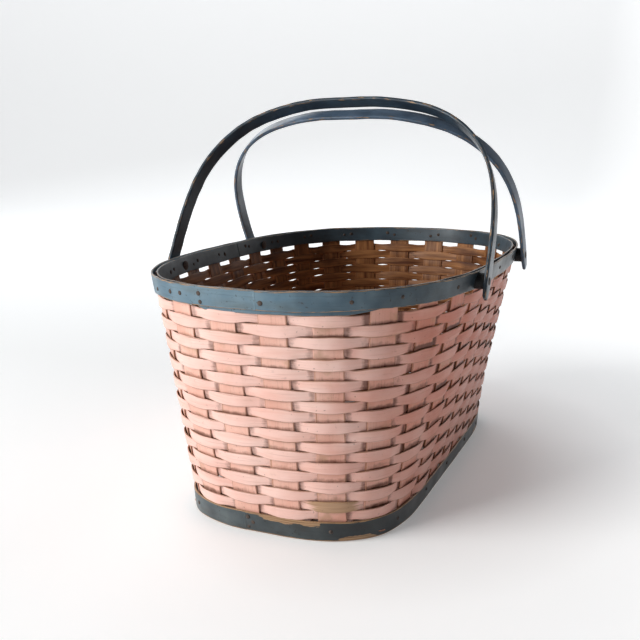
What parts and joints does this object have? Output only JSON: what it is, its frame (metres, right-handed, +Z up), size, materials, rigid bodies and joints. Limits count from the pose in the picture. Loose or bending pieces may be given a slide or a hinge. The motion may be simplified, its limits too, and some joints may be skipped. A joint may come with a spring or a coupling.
{
  "type": "easter basket",
  "caption": "Oblong plain-woven splint basket with a nailed rim hoop, a foot band and a pair of swing handles that lean together over the mouth.",
  "frame": {"origin": "on the ground, under the middle of the base band", "axes": "+Z up, +Y along the basket from the near handle's end to the far handle's end, +X across the basket to the right, parallel to both handle hinges"},
  "size_m": [0.3452, 0.4966, 0.3937],
  "materials": {
    "splint_pink": "worn pink wash over wood, grain and dirt showing",
    "weaver_pink": "worn chalky salmon pink wash over wood, whitish at the high spots",
    "hoop_blue": "worn blue-grey paint, bare tan edges",
    "inner_hoop_blue": "worn dark blue-grey paint, bare tan edges",
    "band_blue": "worn dark blue-grey paint, chipped edges",
    "handle_blue": "dark blue-grey paint, satin, edges worn to tan wood",
    "spacer_dark": "dark stained, matt",
    "rivet_rust": "rusted iron"
  },
  "bodies": {
    "basket": {"lengthwise_splint_1": "splint_pink", "lengthwise_splint_2": "splint_pink", "lengthwise_splint_3": "splint_pink", "lengthwise_splint_4": "splint_pink", "lengthwise_splint_5": "splint_pink", "lengthwise_splint_6": "splint_pink", "crosswise_splint_1": "splint_pink", "crosswise_splint_2": "splint_pink", "crosswise_splint_3": "splint_pink", "crosswise_splint_4": "splint_pink", "crosswise_splint_5": "splint_pink", "crosswise_splint_6": "splint_pink", "crosswise_splint_7": "splint_pink", "crosswise_splint_8": "splint_pink", "weaver_row_01": "weaver_pink", "weaver_row_02": "weaver_pink", "weaver_row_03": "weaver_pink", "weaver_row_04": "weaver_pink", "weaver_row_05": "weaver_pink", "weaver_row_06": "weaver_pink", "weaver_row_07": "weaver_pink", "weaver_row_08": "weaver_pink", "weaver_row_09": "weaver_pink", "weaver_row_10": "weaver_pink", "weaver_row_11": "weaver_pink", "weaver_row_12": "weaver_pink", "weaver_row_13": "weaver_pink", "weaver_row_14": "weaver_pink", "weaver_row_15": "weaver_pink", "weaver_row_16": "weaver_pink", "weaver_row_17": "weaver_pink", "weaver_row_18": "weaver_pink", "weaver_row_19": "weaver_pink", "weaver_row_20": "weaver_pink", "base_band": "band_blue", "rim_splice": "hoop_blue", "outer_rim_hoop": "hoop_blue", "inner_rim_hoop": "inner_hoop_blue", "near_left_spacer": "spacer_dark", "near_left_rivet": "rivet_rust", "near_right_spacer": "spacer_dark", "near_right_rivet": "rivet_rust", "far_left_spacer": "spacer_dark", "far_left_rivet": "rivet_rust", "far_right_spacer": "spacer_dark", "far_right_rivet": "rivet_rust"},
    "near_handle": {"near_handle": "handle_blue"},
    "far_handle": {"far_handle": "handle_blue"}
  },
  "joints": [
    {"name": "near_handle_swing", "type": "hinge", "parent": "basket", "child": "near_handle", "pos_m": [0, -0.091, 0.2225], "axis": [1, 0, 0], "range_deg": [0, 150]},
    {"name": "far_handle_swing", "type": "hinge", "parent": "basket", "child": "far_handle", "pos_m": [0, 0.091, 0.2225], "axis": [-1, 0, 0], "range_deg": [0, 150]}
  ]
}
